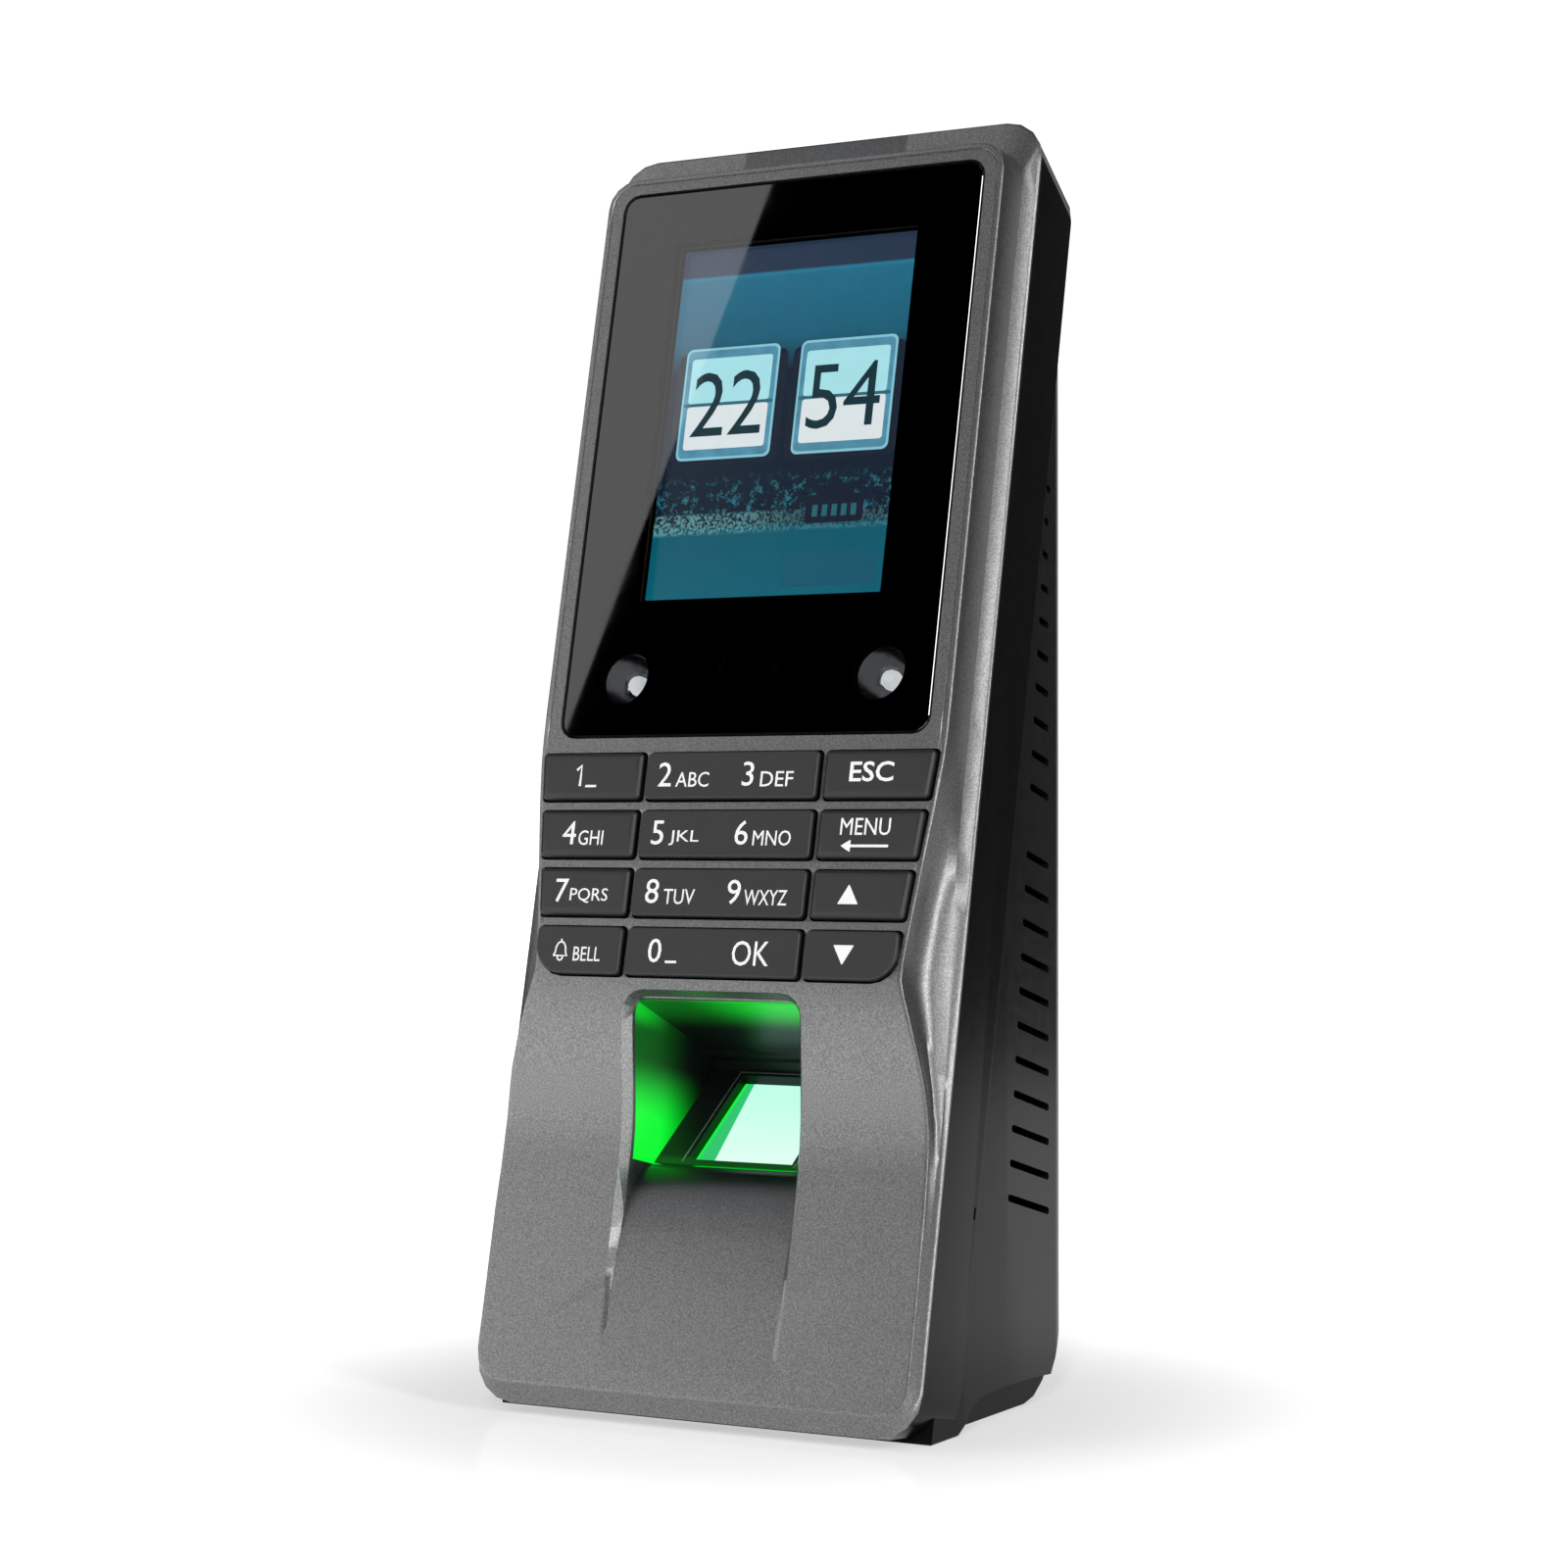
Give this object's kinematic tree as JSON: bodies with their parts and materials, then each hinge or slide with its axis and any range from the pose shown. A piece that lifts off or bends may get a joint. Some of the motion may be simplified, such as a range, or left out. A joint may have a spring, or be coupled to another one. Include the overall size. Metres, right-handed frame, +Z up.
{
  "type": "fingerprint access terminal",
  "caption": "Tall wall-mounted fingerprint access terminal: glass window over a colour display, white-lettered keypad, recessed finger channel, vented black wedge case.",
  "frame": {"origin": "bottom centre of the whole terminal, in the plane of its underside", "axes": "+Z up the terminal, front faces -Y, wall side faces +Y, +X to the right as seen from the front"},
  "size_m": [0.077, 0.0603, 0.2004],
  "materials": {
    "silver": "fine metallic silver paint, satin",
    "case_black": "satin black moulded case",
    "lining_black": "smooth black",
    "window_glass": "polished black-tinted glass",
    "key_grey": "dark grey keys with white legends",
    "rubber": "soft black rubber",
    "screen": "lit colour display",
    "steel": "plain steel",
    "chrome": "polished bowl",
    "lens_clear": "clear optical plastic",
    "circuit_board": "green solder mask",
    "chip": "black moulded package",
    "connector": "off-white moulded",
    "ribbon": "amber flexible circuit"
  },
  "bodies": {
    "root": {"front_shell": "silver", "rear_shell": "case_black", "display_window": "window_glass", "window_gasket": "rubber", "window_mask": "lining_black", "lcd_panel": "screen", "lcd_frame": "steel", "display_ribbon": "ribbon", "camera_board": "circuit_board", "keypad_membrane": "rubber", "keypad_board": "circuit_board", "keypad_ribbon": "ribbon", "sensor_lining": "lining_black", "sensor_prism": "lens_clear", "sensor_housing": "case_black", "sensor_board": "circuit_board", "main_board": "circuit_board", "processor": "chip", "door_relay": "chip", "cell_holder": "case_black", "backup_cell": "steel", "speaker": "chip", "network_header": "connector", "power_header": "connector", "lock_header": "connector", "tamper_switch": "chip", "reset_board": "circuit_board", "reset_switch": "chip", "wall_plate": "steel", "security_screw": "steel", "lamp_reflector_left": "chrome", "lamp_led_left": "lens_clear", "camera_barrel_left": "case_black", "camera_lens_left": "window_glass", "case_screw_upper_left": "steel", "case_screw_lower_left": "steel", "lamp_reflector_right": "chrome", "lamp_led_right": "lens_clear", "camera_barrel_right": "case_black", "camera_lens_right": "window_glass", "case_screw_upper_right": "steel", "case_screw_lower_right": "steel"},
    "tamper_plunger": {"tamper_plunger": "connector"},
    "reset_button": {"reset_button": "connector"},
    "key_1": {"key_1": "key_grey"},
    "key_4": {"key_4": "key_grey"},
    "key_7": {"key_7": "key_grey"},
    "key_bell": {"key_bell": "key_grey"},
    "key_esc": {"key_esc": "key_grey"},
    "key_menu": {"key_menu": "key_grey"},
    "key_up": {"key_up": "key_grey"},
    "key_down": {"key_down": "key_grey"},
    "key_2_3": {"key_2_3": "key_grey"},
    "key_5_6": {"key_5_6": "key_grey"},
    "key_8_9": {"key_8_9": "key_grey"},
    "key_0_ok": {"key_0_ok": "key_grey"}
  },
  "joints": [
    {"name": "key_1_press", "type": "slide", "parent": "root", "child": "key_1", "axis": [0, 0.976, -0.2176], "range_m": [0, 0.0007], "stiffness_N_per_m": 400, "springref_m": -0.0004},
    {"name": "key_4_press", "type": "slide", "parent": "root", "child": "key_4", "axis": [0, 0.976, -0.2176], "range_m": [0, 0.0007], "stiffness_N_per_m": 400, "springref_m": -0.0004},
    {"name": "key_7_press", "type": "slide", "parent": "root", "child": "key_7", "axis": [0, 0.976, -0.2176], "range_m": [0, 0.0007], "stiffness_N_per_m": 400, "springref_m": -0.0004},
    {"name": "key_bell_press", "type": "slide", "parent": "root", "child": "key_bell", "axis": [0, 0.976, -0.2176], "range_m": [0, 0.0007], "stiffness_N_per_m": 400, "springref_m": -0.0004},
    {"name": "key_esc_press", "type": "slide", "parent": "root", "child": "key_esc", "axis": [0, 0.976, -0.2176], "range_m": [0, 0.0007], "stiffness_N_per_m": 400, "springref_m": -0.0004},
    {"name": "key_menu_press", "type": "slide", "parent": "root", "child": "key_menu", "axis": [0, 0.976, -0.2176], "range_m": [0, 0.0007], "stiffness_N_per_m": 400, "springref_m": -0.0004},
    {"name": "key_up_press", "type": "slide", "parent": "root", "child": "key_up", "axis": [0, 0.976, -0.2176], "range_m": [0, 0.0007], "stiffness_N_per_m": 400, "springref_m": -0.0004},
    {"name": "key_down_press", "type": "slide", "parent": "root", "child": "key_down", "axis": [0, 0.976, -0.2176], "range_m": [0, 0.0007], "stiffness_N_per_m": 400, "springref_m": -0.0004},
    {"name": "key_2_3_rock", "type": "hinge", "parent": "root", "child": "key_2_3", "pos_m": [0, -0.01308, 0.09741], "axis": [0, 0.2176, 0.976], "range_deg": [-2.4, 2.4], "stiffness_Nm_per_rad": 0.05},
    {"name": "key_5_6_rock", "type": "hinge", "parent": "root", "child": "key_5_6", "pos_m": [0, -0.01508, 0.08843], "axis": [0, 0.2176, 0.976], "range_deg": [-2.4, 2.4], "stiffness_Nm_per_rad": 0.05},
    {"name": "key_8_9_rock", "type": "hinge", "parent": "root", "child": "key_8_9", "pos_m": [0, -0.01708, 0.07945], "axis": [0, 0.2176, 0.976], "range_deg": [-2.4, 2.4], "stiffness_Nm_per_rad": 0.05},
    {"name": "key_0_ok_rock", "type": "hinge", "parent": "root", "child": "key_0_ok", "pos_m": [0, -0.01908, 0.07047], "axis": [0, 0.2176, 0.976], "range_deg": [-2.4, 2.4], "stiffness_Nm_per_rad": 0.05},
    {"name": "tamper_press", "type": "slide", "parent": "root", "child": "tamper_plunger", "axis": [0, -1, 0], "range_m": [0, 0.0012], "stiffness_N_per_m": 150, "springref_m": -0.0005},
    {"name": "reset_press", "type": "slide", "parent": "root", "child": "reset_button", "axis": [-1, 0, 0], "range_m": [0, 0.00025], "stiffness_N_per_m": 400, "springref_m": -0.0004}
  ]
}
